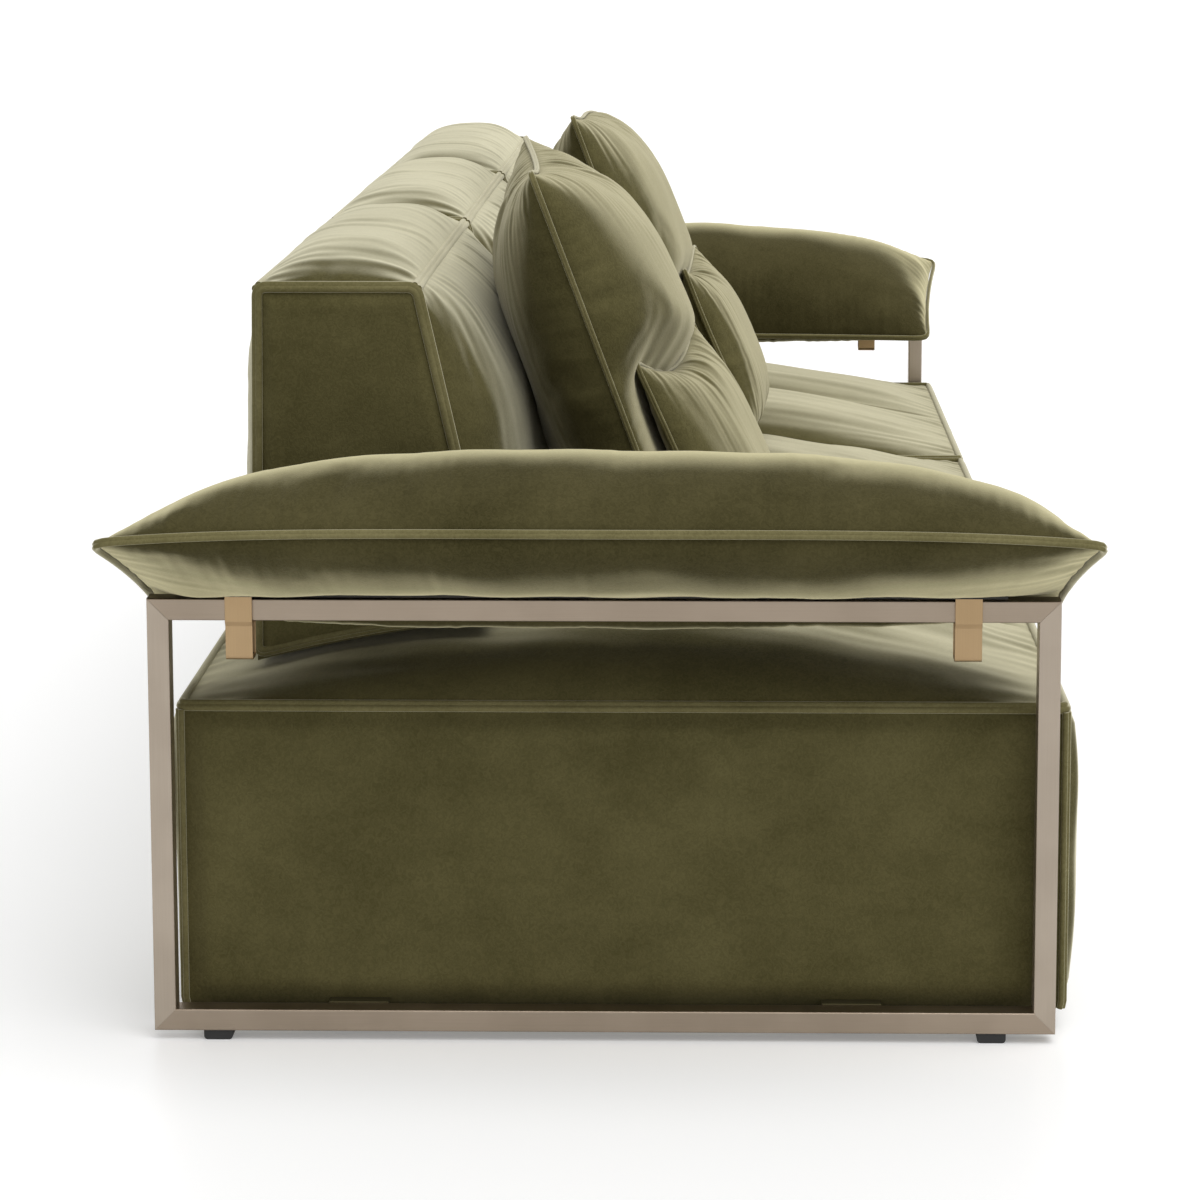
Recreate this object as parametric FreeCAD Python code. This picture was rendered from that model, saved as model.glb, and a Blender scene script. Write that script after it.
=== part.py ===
import FreeCAD, Part
import os
from math import cos, exp, radians, sin, sqrt

Vector = FreeCAD.Vector

# A three-seater sofa, in millimetres. X runs along it, the seats face -Y and Z is up.
# The origin is on the floor, under the middle of the sofa.

# End frames of mitred tube
frame_depth = 908.0
frame_height = 444.0
tube_face = 22.0
tube_depth = 25.0
tube_wall = 2.0
tube_round = 1.5

# Glides under the end frames
glide_height = 10.0
glide_length = 29.0
glide_width = 20.0
glide_inset = 64.0
glide_round = 4.0

# Seat blocks
seat_names = ("left", "middle", "right")
seat_width = 775.0
seat_depth = 904.0
seat_side_height = 303.0
seat_gap = 2.5
seat_frame_gap = 10.0
seat_bar_gap = 1.0
seat_rear_inset = 23.0
seat_crown = 72.0
seat_front_bulge = 13.0
seat_rear_bulge = 6.0
seat_channel_depth = 20.0
seat_channel_reach = 48.0

# Upholstery layers
cover_thickness = 2.5
cover_foam_gap = 0.8
seam_share = 0.05
# How full a block is from its middle to its end: the higher the power, the squarer its shoulder
block_power = 5.0
block_root = 0.7
block_places = (0.12, 0.25, 0.45, 0.66, 0.82, 0.93, 1.0)

# Timber carcass in each seat, and the webbing on it
carcass_height = 150.0
carcass_board = 22.0
carcass_side_padding = 35.0
carcass_front_padding = 55.0
carcass_rear_padding = 35.0
carcass_foam_gap = 1.0
peg_beam_width = 60.0
peg_beam_height = 90.0
peg_beam_drop = 12.0
strap_count = 6
strap_width = 60.0
strap_thickness = 2.5
strap_foam_gap = 6.0
dust_cloth_thickness = 1.5
dust_cloth_gap = 1.0

# Plates under the seats, their bolts, and the feet
plate_thickness = 5.0
plate_length = 60.0
plate_spread = 500.0
bolt_diameter = 8.0
bolt_head_diameter = 13.0
bolt_head_height = 5.3
bolt_bite = 40.0
bolt_fit = 0.25
seat_foot_diameter = 50.0
seat_foot_round = 4.0

# Back blocks
back_setback = 69.0
back_depth = 244.0
back_top_depth = 163.0
back_rear_lean = 5.0
back_rise = 414.0
back_crown = 50.0
back_front_bulge = 68.0
back_rear_bulge = 12.0
back_gap = 2.5
back_seat_gap = 3.0
back_arm_gap = 8.0

# Plywood core in each back, and its steel pegs
core_lift = 45.0
core_side_margin = 70.0
core_top_margin = 75.0
core_panel = 18.0
core_rail_width = 60.0
core_rail_height = 60.0
core_foam_gap = 1.0
peg_diameter = 22.0
peg_wall = 2.0
peg_spread = 400.0
peg_socket = 45.0
peg_fit = 0.25
peg_foam_gap = 2.0

# Arm pads
arm_length = 972.0
arm_inner_length = 920.0
arm_outer_reach = 135.0
arm_outer_rise = 93.0
arm_inner_reach = 115.0
arm_inner_drop = 30.0
arm_top_bulge = 117.0
arm_bottom_bulge = 27.0
arm_bar_gap = 1.0
arm_edge = 8.0
arm_tip_drop = 12.0
arm_power = 4.0
arm_root = 0.7
arm_places = (0.3, 0.55, 0.75, 0.9, 1.0)

# Timber board in each arm pad, the strap clips under it and their screws
board_length = 800.0
board_width = 40.0
board_height = 22.0
board_gap = 1.0
clip_width = 27.0
clip_thickness = 3.0
clip_fit = 0.5
clip_drop = 62.0
clip_jog = 3.0
clip_jog_height = 5.0
clip_round = 5.0
clip_inset = 92.0
screw_diameter = 4.0
screw_head_diameter = 7.5
screw_length = 16.0
screw_spread = 13.0
screw_fit = 0.1

# Loose cushions
cushion_edge = 8.0
cushion_seat_gap = 6.0
cushion_back_gap = 4.0
cushion_power = 2.0
cushion_root = 0.5
cushion_places = (0.5, 0.85, 1.0)
large_width = 550.0
large_height = 480.0
large_front_swell = 66.0
large_rear_swell = 86.0
large_draw = 14.0
large_lean = 20.0
small_width = 390.0
small_height = 255.0
small_front_swell = 54.0
small_rear_swell = 14.0
small_draw = 9.0
small_lean = 24.0
# Middle of each large cushion along X, and how far the small one's middle stands from it
cushion_xs = {"left": (-719.0, -30.0), "right": (164.0, 60.0)}
large_turn = {"left": 3.5, "right": 0.0}
small_turn = {"left": -6.0, "right": -2.0}
# How far the middles of a small and a large cushion are apart, so that their ends clear each other too
small_gap = {"left": 14.0, "right": 4.0}

# How far a cutting tool runs past what it cuts, and the longest an edge may be that counts as a point
overcut = 1.0
tiny = 1e-6

X_AXIS = Vector(1, 0, 0)
Y_AXIS = Vector(0, 1, 0)
Z_AXIS = Vector(0, 0, 1)

# Places that follow from the sizes
frame_bottom = glide_height
frame_top = frame_bottom + frame_height
frame_rear = frame_depth / 2
seat_bottom = frame_bottom + tube_face + seat_bar_gap
seat_edge = seat_bottom + seat_side_height
seat_rear = frame_rear - seat_rear_inset
seat_front = seat_rear - seat_depth
seat_pitch = seat_width + seat_gap
frame_inner = seat_pitch + seat_width / 2 + seat_frame_gap
frame_outer = frame_inner + tube_depth
carcass_half = seat_width / 2 - carcass_side_padding
carcass_front = seat_front + carcass_front_padding
carcass_rear = seat_rear - carcass_rear_padding
carcass_top = seat_bottom + carcass_height
back_rear = seat_rear - back_setback
back_front = back_rear - back_depth
back_edge = seat_edge + back_rise
back_top_rear = back_rear - back_rear_lean
back_top_front = back_top_rear - back_top_depth
peg_y = (back_rear + back_front) / 2
peg_beam_top = carcass_top - peg_beam_drop
plate_bottom = seat_bottom - plate_thickness


def box(x, y, z):
    """A box between two values on each axis."""
    return Part.makeBox(x[1] - x[0], y[1] - y[0], z[1] - z[0], Vector(x[0], y[0], z[0]))


def rod(x, y, z, diameter):
    """An upright round rod between two heights."""
    return Part.makeCylinder(diameter / 2, z[1] - z[0], Vector(x, y, z[0]))


def bowed(start, end, outward, bulge):
    """An arc between two points whose middle stands out from their line."""
    middle = (start + end) / 2 + outward * bulge
    return Part.Arc(start, middle, end).toShape()


def turned(direction, normal):
    """The direction at a right angle to another one, in the plane of a section."""
    across = direction.cross(normal)
    return across.normalize()


def save(name, *solids):
    """Write one node, as one solid or as a group of separate solids."""
    for solid in solids:
        if not solid.isValid() or solid.Volume <= 0:
            raise ValueError(name + " has a bad solid")
    shape = solids[0] if len(solids) == 1 else Part.makeCompound(list(solids))
    shape.exportStep("parts/" + name + ".step")
    print(name, len(solids), round(sum(solid.Volume for solid in solids)))


def one_solid(shape):
    """The single solid in a shape."""
    if len(shape.Solids) != 1:
        raise ValueError("expected one solid, found " + str(len(shape.Solids)))
    return shape.Solids[0]


def bow_radius(chord, bulge):
    """Radius of an arc whose middle stands out from its chord."""
    return (chord**2 / 4 + bulge**2) / (2 * bulge)


def fullness(place, power, root):
    """How full a soft form is, between its middle at 0 and its seam at 1."""
    return max(seam_share, (1 - place**power) ** root)


def both_ways(places):
    """The places of the sections of a form that is the same to both sides."""
    return [-place for place in reversed(places)] + [0.0] + list(places)


def seat_top(y):
    """Height of the crown of a seat at its fullest."""
    radius = bow_radius(seat_depth, seat_crown)
    middle = (seat_front + seat_rear) / 2
    return seat_edge + seat_crown - radius + sqrt(radius**2 - (y - middle) ** 2)


# End frames


def frame_tube(length):
    """A hollow tube along Y, its ends cut at 45 degrees and its long face on top, at the right end."""
    high = length / 2
    low = high - tube_face
    points = [
        Vector(frame_inner, -high, 0),
        Vector(frame_inner, high, 0),
        Vector(frame_inner, low, -tube_face),
        Vector(frame_inner, -low, -tube_face),
    ]
    outside = Part.Face(Part.makePolygon(points + points[:1])).extrude(X_AXIS * tube_depth)
    along = [edge for edge in outside.Edges if edge.BoundBox.XLength + edge.BoundBox.ZLength < tiny]
    outside = outside.makeFillet(tube_round, along)
    bore = box(
        (frame_inner + tube_wall, frame_outer - tube_wall),
        (-high, high),
        (tube_wall - tube_face, -tube_wall),
    )
    return one_solid(outside.cut(bore))


def frame_tubes():
    """The four tubes of the right end frame, by name."""
    middle = Vector(0, 0, frame_bottom + frame_height / 2)
    tubes = {}
    sides = (("top_bar", 0), ("rear_post", -90), ("bottom_bar", 180), ("front_post", 90))
    for name, turn in sides:
        level = turn in (0, 180)
        tube = frame_tube(frame_depth if level else frame_height)
        tube.translate(Z_AXIS * (frame_height / 2 if level else frame_depth / 2))
        tube.rotate(Vector(), X_AXIS, turn)
        tube.translate(middle)
        tubes[name] = tube
    return tubes


def glide(y):
    """A block foot under the end frame, with its lower corners rounded."""
    centre = (frame_inner + frame_outer) / 2
    block = box(
        (centre - glide_width / 2, centre + glide_width / 2),
        (y - glide_length / 2, y + glide_length / 2),
        (0, glide_height),
    )
    lower = [edge for edge in block.Edges if edge.BoundBox.ZMax < tiny and edge.BoundBox.YLength < tiny]
    return block.makeFillet(glide_round, lower)


# Plates, bolts and feet under the seats


def bolt(x, y):
    """A bolt that comes up through a plate into a carcass rail."""
    shank = rod(x, y, (plate_bottom, seat_bottom + bolt_bite), bolt_diameter)
    head = rod(x, y, (plate_bottom - bolt_head_height, plate_bottom), bolt_head_diameter)
    return one_solid(shank.fuse(head).removeSplitter())


def bolt_hole(x, y):
    """The clearance for a bolt, through a plate and up a rail."""
    depth = (plate_bottom - overcut, seat_bottom + bolt_bite + overcut)
    return rod(x, y, depth, bolt_diameter + 2 * bolt_fit)


def plate(x, y, holes):
    """A flat steel plate under the seats between two values of X, drilled for its bolts."""
    blank = box(x, (y - plate_length / 2, y + plate_length / 2), (plate_bottom, seat_bottom))
    for hole in holes:
        blank = blank.cut(bolt_hole(hole, y))
    return one_solid(blank)


rail_inset = carcass_side_padding + carcass_board / 2
plate_ys = (-plate_spread / 2, plate_spread / 2)
frame_bolt_x = seat_pitch + seat_width / 2 - rail_inset
joint_xs = (-seat_pitch / 2, seat_pitch / 2)
link_bolt_reach = seat_gap / 2 + rail_inset
link_reach = seat_gap / 2 + carcass_side_padding + carcass_board


def seat_foot(x, y):
    """A low round foot under a link plate."""
    foot = rod(x, y, (0, plate_bottom), seat_foot_diameter)
    lower = [edge for edge in foot.Edges if edge.BoundBox.ZMax < tiny]
    return foot.makeFillet(seat_foot_round, lower)


def rail_bolt_xs(centre):
    """Where bolts come up into the two side rails of a seat."""
    reach = seat_width / 2 - rail_inset
    return centre - reach, centre + reach


# Seat blocks


def seat_section(x, share, inset, low):
    """The outline of a seat block at one X: front, crown, rear and underside."""
    front_low = Vector(x, seat_front + inset, low)
    front_top = Vector(x, seat_front + inset, seat_edge - inset)
    rear_top = Vector(x, seat_rear - inset, seat_edge - inset)
    rear_low = Vector(x, seat_rear - inset, low)
    return Part.Wire(
        [
            bowed(front_low, front_top, -Y_AXIS, seat_front_bulge * share),
            bowed(front_top, rear_top, Z_AXIS, seat_crown * share),
            bowed(rear_top, rear_low, Y_AXIS, seat_rear_bulge * share),
            Part.makeLine(rear_low, front_low),
        ]
    )


def seat_form(centre, inset, low):
    """A crowned seat block with a sewn channel across its middle."""
    half = seat_width / 2
    sections = []
    for place in both_ways(block_places):
        x = place * half
        sunk = seat_channel_depth / seat_crown * exp(-((x / seat_channel_reach) ** 2))
        share = fullness(abs(place), block_power, block_root) - sunk
        sections.append(seat_section(centre + place * (half - inset), share, inset, low))
    return one_solid(Part.makeLoft(sections, True))


def peg_xs(place):
    """Where the two pegs of a back stand."""
    centre = place * back_pitch
    return centre - peg_spread / 2, centre + peg_spread / 2


def peg_holes(place, z, gap):
    """The clearance round a back's two pegs, between two heights."""
    first, second = (rod(x, peg_y, z, peg_diameter + 2 * gap) for x in peg_xs(place))
    return first.fuse(second)


def seat_carcass(place):
    """A glued box of boards with a beam across it that holds the pegs of the back."""
    centre = place * seat_pitch
    wide = (centre - carcass_half, centre + carcass_half)
    tall = (seat_bottom, carcass_top)
    inside = (wide[0] + carcass_board, wide[1] - carcass_board)
    opening = box(inside, (carcass_front + carcass_board, carcass_rear - carcass_board), tall)
    shell = box(wide, (carcass_front, carcass_rear), tall).cut(opening)
    beam = box(
        inside,
        (peg_y - peg_beam_width / 2, peg_y + peg_beam_width / 2),
        (peg_beam_top - peg_beam_height, peg_beam_top),
    )
    sockets = peg_holes(place, (peg_beam_top - peg_socket, carcass_top), peg_fit)
    body = shell.fuse(beam).removeSplitter().cut(sockets)
    for x in rail_bolt_xs(centre):
        for y in plate_ys:
            body = body.cut(bolt_hole(x, y))
    return one_solid(body)


def seat_webbing(place):
    """Elastic straps from side rail to side rail, between the front rail and the peg beam."""
    centre = place * seat_pitch
    front = carcass_front + carcass_board
    pitch = (peg_y - peg_beam_width / 2 - front) / strap_count
    straps = []
    for number in range(strap_count):
        y = front + (number + 0.5) * pitch
        straps.append(
            box(
                (centre - carcass_half, centre + carcass_half),
                (y - strap_width / 2, y + strap_width / 2),
                (carcass_top, carcass_top + strap_thickness),
            )
        )
    return straps


def seat_foam(place):
    """The foam of a seat, hollowed from below for its carcass and webbing."""
    centre = place * seat_pitch
    form = seat_form(centre, cover_thickness + cover_foam_gap, seat_bottom)
    gap = carcass_foam_gap
    hollow = box(
        (centre - carcass_half - gap, centre + carcass_half + gap),
        (carcass_front - gap, carcass_rear + gap),
        (seat_bottom - overcut, carcass_top + strap_thickness + strap_foam_gap),
    )
    holes = peg_holes(place, (carcass_top, back_edge), peg_foam_gap)
    return one_solid(form.cut(hollow).cut(holes))


def seat_cover(place):
    """The sewn cover of a seat, open underneath."""
    centre = place * seat_pitch
    outer = seat_form(centre, 0, seat_bottom)
    inner = seat_form(centre, cover_thickness, seat_bottom - 2 * cover_thickness)
    holes = peg_holes(place, (carcass_top, back_edge), peg_foam_gap)
    return one_solid(outer.cut(inner).cut(holes))


def dust_cloth(place):
    """A thin cloth under a seat, from the front rail to the rear rail."""
    centre = place * seat_pitch
    half = carcass_half - carcass_board - dust_cloth_gap
    return box(
        (centre - half, centre + half),
        (carcass_front + carcass_board / 2, carcass_rear - carcass_board / 2),
        (seat_bottom - dust_cloth_thickness, seat_bottom),
    )


# Arm pads


def arm_chord(drop):
    """The seam points of the right arm pad's section, outer and inner, as X and Z."""
    outer = Vector(frame_outer + arm_outer_reach, 0, frame_top + arm_outer_rise - drop)
    inner = Vector(frame_outer - arm_inner_reach, 0, frame_top - arm_inner_drop)
    return outer, inner


def arm_section(y, share, drop):
    """The outline of the right arm pad at one place: a high crown over a nearly flat underside."""
    outer, inner = arm_chord(drop)
    upward = turned(outer - inner, Y_AXIS)
    outer += Y_AXIS * y
    inner += Y_AXIS * (y * arm_inner_length / arm_length)
    half_edge = upward * (arm_edge / 2)
    top_outer, low_outer = outer + half_edge, outer - half_edge
    top_inner, low_inner = inner + half_edge, inner - half_edge
    return Part.Wire(
        [
            bowed(top_outer, top_inner, upward, arm_top_bulge * share),
            Part.makeLine(top_inner, low_inner),
            bowed(low_inner, low_outer, -upward, arm_bottom_bulge * share),
            Part.makeLine(low_outer, top_outer),
        ]
    )


def arm_form():
    """The right arm pad: a long pillow with knife edges, its inner edge low, its tips flat."""
    sections = []
    for place in both_ways(arm_places):
        share = fullness(abs(place), arm_power, arm_root)
        sections.append(arm_section(place * arm_length / 2, share, arm_tip_drop * abs(place) ** arm_power))
    return one_solid(Part.makeLoft(sections, True))


bar_middle = (frame_inner + frame_outer) / 2
board_bottom = frame_top + clip_fit + clip_thickness
clip_ys = (-frame_rear + clip_inset, frame_rear - clip_inset)


def screw_places():
    """Where the clip screws of the right arm go."""
    steps = (-screw_spread / 2, screw_spread / 2)
    return [Vector(bar_middle, y + step, 0) for y in clip_ys for step in steps]


def arm_pad():
    """The right arm pad, with a channel underneath for the top bar and a pocket for its board."""
    low = frame_top - arm_top_bulge
    channel = box(
        (frame_inner - arm_bar_gap, frame_outer + arm_bar_gap),
        (-arm_length / 2, arm_length / 2),
        (low, frame_top + arm_bar_gap),
    )
    reach = board_width / 2 + board_gap
    length = board_length / 2 + board_gap
    pocket = box(
        (bar_middle - reach, bar_middle + reach),
        (-length, length),
        (low, board_bottom + board_height + board_gap),
    )
    return one_solid(arm_form().cut(channel).cut(pocket))


def arm_board():
    """The timber board over the right top bar, drilled for the clip screws."""
    board = box(
        (bar_middle - board_width / 2, bar_middle + board_width / 2),
        (-board_length / 2, board_length / 2),
        (board_bottom, board_bottom + board_height),
    )
    for place in screw_places():
        depth = (board_bottom - overcut, board_bottom + screw_length)
        board = board.cut(rod(place.x, place.y, depth, screw_diameter + 2 * screw_fit))
    return one_solid(board)


def clip_outline(reach, top, jog_top, bottom):
    """A closed outline round the top bar that steps in under it."""
    low_reach = reach - clip_jog
    points = [
        (reach, top),
        (reach, jog_top),
        (low_reach, jog_top - clip_jog_height),
        (low_reach, bottom),
    ]
    right = [Vector(bar_middle + x, 0, z) for x, z in points]
    left = [Vector(bar_middle - x, 0, z) for x, z in reversed(points)]
    return Part.Face(Part.makePolygon(right + left + right[:1]))


def arm_clip(y):
    """A strap bent into a loop round the right top bar, with screw holes in its top."""
    reach = tube_depth / 2 + clip_fit
    bar_bottom = frame_top - tube_face
    bottom = frame_top - clip_drop
    hole = clip_outline(reach, frame_top + clip_fit, bar_bottom - clip_fit, bottom + clip_thickness)
    strap = clip_outline(reach + clip_thickness, board_bottom, bar_bottom - clip_fit, bottom)
    loop = strap.extrude(Y_AXIS * clip_width)
    along = [edge for edge in loop.Edges if edge.BoundBox.XLength < tiny]
    lower = [edge for edge in along if edge.BoundBox.ZMax < bottom + tiny]
    loop = loop.makeFillet(clip_round, lower).cut(hole.extrude(Y_AXIS * clip_width))
    loop.translate(Y_AXIS * (y - clip_width / 2))
    for place in screw_places():
        loop = loop.cut(screw(place, screw_fit))
    return one_solid(loop)


def screw(place, gap):
    """A countersunk screw up through a clip into the board, or the space it needs."""
    low = frame_top + clip_fit
    head_height = (screw_head_diameter - screw_diameter) / 2
    head = Part.makeCone(
        screw_head_diameter / 2 + gap, screw_diameter / 2 + gap, head_height, Vector(place.x, place.y, low)
    )
    shank = rod(place.x, place.y, (low + head_height, low + screw_length), screw_diameter + 2 * gap)
    return one_solid(head.fuse(shank))


def arm_reach_in():
    """How far the right arm pad reaches in from the frame's outer face."""
    outer, inner = arm_chord(0)
    radius = bow_radius((outer - inner).Length, arm_top_bulge)
    upward = turned(outer - inner, Y_AXIS)
    centre = (outer + inner) / 2 + upward * (arm_top_bulge - radius + arm_edge / 2)
    return frame_outer - (centre.x - radius)


# Back blocks, which fill the row between the arm pads

back_row_half = frame_outer - arm_reach_in() - back_arm_gap
back_width = (2 * back_row_half + back_gap) / len(seat_names) - back_gap
back_pitch = back_width + back_gap


def back_section(x, share, inset, low):
    """The outline of a back block at one X: front, top, rear, and an underside that follows the seat."""

    def under(y):
        return Vector(x, y, seat_top(y) + back_seat_gap + low)

    front_low = under(back_front + inset)
    front_top = Vector(x, back_top_front + inset, back_edge - inset)
    rear_top = Vector(x, back_top_rear - inset, back_edge - inset)
    rear_low = under(back_rear - inset)
    return Part.Wire(
        [
            bowed(front_low, front_top, turned(front_top - front_low, -X_AXIS), back_front_bulge * share),
            bowed(front_top, rear_top, Z_AXIS, back_crown * share),
            bowed(rear_top, rear_low, Y_AXIS, back_rear_bulge * share),
            Part.Arc(rear_low, under(peg_y), front_low).toShape(),
        ]
    )


def back_form(centre, inset, low):
    """A back block with a crowned front and top and flat, seamed ends."""
    half = back_width / 2 - inset
    sections = []
    for place in both_ways(block_places):
        share = fullness(abs(place), block_power, block_root)
        sections.append(back_section(centre + place * half, share, inset, low))
    return one_solid(Part.makeLoft(sections, True))


core_bottom = seat_top(peg_y) + core_lift
core_top = back_edge - core_top_margin


def back_core_form(place, gap):
    """A rail over the pegs with a plywood panel standing on its rear edge, or the space they need."""
    centre = place * back_pitch
    half = back_width / 2 - core_side_margin + gap
    wide = (centre - half, centre + half)
    rear = peg_y + core_rail_width / 2 + gap
    rail_height = (core_bottom - gap, core_bottom + core_rail_height + gap)
    rail = box(wide, (peg_y - core_rail_width / 2 - gap, rear), rail_height)
    panel = box(wide, (rear - core_panel - 2 * gap, rear), (core_bottom, core_top + gap))
    return rail.fuse(panel).removeSplitter()


def back_core(place):
    """The plywood core of a back, with two sockets for its pegs."""
    sockets = peg_holes(place, (core_bottom - overcut, core_bottom + peg_socket), peg_fit)
    return one_solid(back_core_form(place, 0).cut(sockets))


def back_foam(place):
    """The foam of a back, with room inside for its core and pegs."""
    inset = cover_thickness + cover_foam_gap
    form = back_form(place * back_pitch, inset, inset)
    holes = peg_holes(place, (seat_bottom, core_bottom), peg_foam_gap)
    return one_solid(form.cut(back_core_form(place, core_foam_gap)).cut(holes))


def back_cover(place):
    """The sewn cover of a back, closed but for the holes of its pegs."""
    outer = back_form(place * back_pitch, 0, 0)
    inner = back_form(place * back_pitch, cover_thickness, cover_thickness)
    holes = peg_holes(place, (seat_bottom, core_bottom), peg_foam_gap)
    return one_solid(outer.cut(inner).cut(holes))


def back_pegs(place):
    """Two steel tubes that stand in the seat's beam and hold the back."""
    pegs = []
    for x in peg_xs(place):
        z = (peg_beam_top - peg_socket, core_bottom + peg_socket)
        bore = rod(x, peg_y, (z[0] - overcut, z[1] + overcut), peg_diameter - 2 * peg_wall)
        pegs.append(one_solid(rod(x, peg_y, z, peg_diameter).cut(bore)))
    return pegs


# Loose cushions


def cushion_section(x, half_height, front_bulge, rear_bulge):
    """The outline of a cushion at one X, as a lens with thin edges."""
    half_edge = cushion_edge / 2
    low_front = Vector(x, -half_edge, -half_height)
    top_front = Vector(x, -half_edge, half_height)
    top_rear = Vector(x, half_edge, half_height)
    low_rear = Vector(x, half_edge, -half_height)
    return Part.Wire(
        [
            bowed(low_front, top_front, -Y_AXIS, front_bulge),
            Part.makeLine(top_front, top_rear),
            bowed(top_rear, low_rear, Y_AXIS, rear_bulge),
            Part.makeLine(low_rear, low_front),
        ]
    )


def cushion_form(width, height, swells, draw):
    """A knife-edged cushion whose front and rear swell, drawn in between its corners."""
    sections = []
    for place in both_ways(cushion_places):
        half_height = height / 2 - draw * (1 - place**2)
        share = fullness(abs(place), cushion_power, cushion_root)
        front_bulge, rear_bulge = (swell * share for swell in swells)
        sections.append(cushion_section(place * width / 2, half_height, front_bulge, rear_bulge))
    return one_solid(Part.makeLoft(sections, True))


def stood(form, height, lean, turn, x, y):
    """A cushion leaning back with its lower corners on the seat."""
    form.translate(Z_AXIS * (height / 2))
    form.rotate(Vector(), X_AXIS, -lean)
    form.rotate(Vector(), Z_AXIS, turn)
    form.translate(Vector(x, y, foot_height(y)))
    return form


def face_circle(height, swells, draw, lean, facing):
    """The circle of a leaning cushion's front (-1) or rear (1): its centre from the foot, and radius."""
    bulge = swells[0] if facing < 0 else swells[1]
    radius = bow_radius(height - 2 * draw, bulge)
    depth = facing * (cushion_edge / 2 + bulge - radius)
    angle = radians(lean)
    y = height / 2 * sin(angle) + depth * cos(angle)
    z = height / 2 * cos(angle) - depth * sin(angle)
    return y, z, radius


def back_circle():
    """The circle of a back's front face at its fullest: its centre and its radius."""
    low = Vector(0, back_front, seat_top(back_front) + back_seat_gap)
    top = Vector(0, back_top_front, back_edge)
    radius = bow_radius((top - low).Length, back_front_bulge)
    outward = turned(top - low, -X_AXIS)
    centre = (low + top) / 2 + outward * (back_front_bulge - radius)
    return centre.y, centre.z, radius


def foot_height(y):
    """Height of the lower corners of a cushion that stands on a seat."""
    return seat_top(y) + cushion_seat_gap


def standing_y(cushion, stop, gap):
    """Where a leaning cushion's foot stands for a gap between its rear and a round face behind it."""
    step_y, step_z, radius = face_circle(*cushion, 1)
    stop_y, stop_z, stop_radius = stop
    y = stop_y - stop_radius
    for _ in range(standing_rounds):
        rise = stop_z - step_z - foot_height(y)
        y = stop_y - sqrt((radius + stop_radius + gap) ** 2 - rise**2) - step_y
    return y


large_swells = (large_front_swell, large_rear_swell)
small_swells = (small_front_swell, small_rear_swell)
large_face = (large_height, large_swells, large_draw, large_lean)
small_face = (small_height, small_swells, small_draw, small_lean)
standing_rounds = 4
large_y = standing_y(large_face, back_circle(), cushion_back_gap)
front_y, front_z, front_radius = face_circle(*large_face, -1)
large_front = (large_y + front_y, foot_height(large_y) + front_z, front_radius)


def large_cushion(side):
    """A large cushion standing on the seat against the backs."""
    x, _ = cushion_xs[side]
    form = cushion_form(large_width, large_height, large_swells, large_draw)
    return stood(form, large_height, large_lean, large_turn[side], x, large_y)


def small_cushion(side):
    """A small cushion standing on the seat against a large one."""
    x, step = cushion_xs[side]
    y = standing_y(small_face, large_front, small_gap[side])
    form = cushion_form(small_width, small_height, small_swells, small_draw)
    return stood(form, small_height, small_lean, small_turn[side], x + step, y)


def on_side(side, shape):
    """A shape of the right end, or its mirror image at the left end."""
    return shape if side == "right" else shape.mirror(Vector(), X_AXIS)


def write_end(side):
    """The end frame and the arm pad of one side."""
    for name, tube in frame_tubes().items():
        save(side + "_frame_" + name, on_side(side, tube))
    glide_reach = frame_rear - glide_inset
    save(side + "_frame_glides", *[on_side(side, glide(y)) for y in (-glide_reach, glide_reach)])
    inner = frame_bolt_x - carcass_board / 2
    plates = [plate((inner, frame_inner), y, [frame_bolt_x]) for y in plate_ys]
    save(side + "_frame_plates", *[on_side(side, shape) for shape in plates])
    save(side + "_frame_bolts", *[on_side(side, bolt(frame_bolt_x, y)) for y in plate_ys])
    save(side + "_arm_pad", on_side(side, arm_pad()))
    save(side + "_arm_board", on_side(side, arm_board()))
    for name, y in zip(("front", "rear"), clip_ys):
        save(side + "_arm_" + name + "_clip", on_side(side, arm_clip(y)))
    save(side + "_arm_screws", *[on_side(side, screw(place, 0)) for place in screw_places()])


def write_seat(name, place):
    """One seat, from its carcass to its cover."""
    save(name + "_seat_carcass", seat_carcass(place))
    save(name + "_seat_webbing", *seat_webbing(place))
    save(name + "_seat_foam", seat_foam(place))
    save(name + "_seat_cover", seat_cover(place))
    save(name + "_seat_dust_cloth", dust_cloth(place))


def write_back(name, place):
    """One back, from its pegs to its cover."""
    save(name + "_back_pegs", *back_pegs(place))
    save(name + "_back_core", back_core(place))
    save(name + "_back_foam", back_foam(place))
    save(name + "_back_cover", back_cover(place))


def write_links():
    """What joins the three seats underneath, and stands them on the floor."""
    spots = [(x, y) for x in joint_xs for y in plate_ys]
    bolt_steps = (-link_bolt_reach, link_bolt_reach)
    plates = []
    for x, y in spots:
        plates.append(plate((x - link_reach, x + link_reach), y, [x + step for step in bolt_steps]))
    save("seat_link_plates", *plates)
    save("seat_link_bolts", *[bolt(x + step, y) for x, y in spots for step in bolt_steps])
    save("seat_feet", *[seat_foot(x, y) for x, y in spots])


def write_all():
    """Every node of the sofa."""
    os.makedirs("parts", exist_ok=True)
    for side in ("left", "right"):
        write_end(side)
    for place, name in zip((-1, 0, 1), seat_names):
        write_seat(name, place)
        write_back(name, place)
    write_links()
    for side in cushion_xs:
        save(side + "_large_cushion", large_cushion(side))
        save(side + "_small_cushion", small_cushion(side))


write_all()
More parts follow.
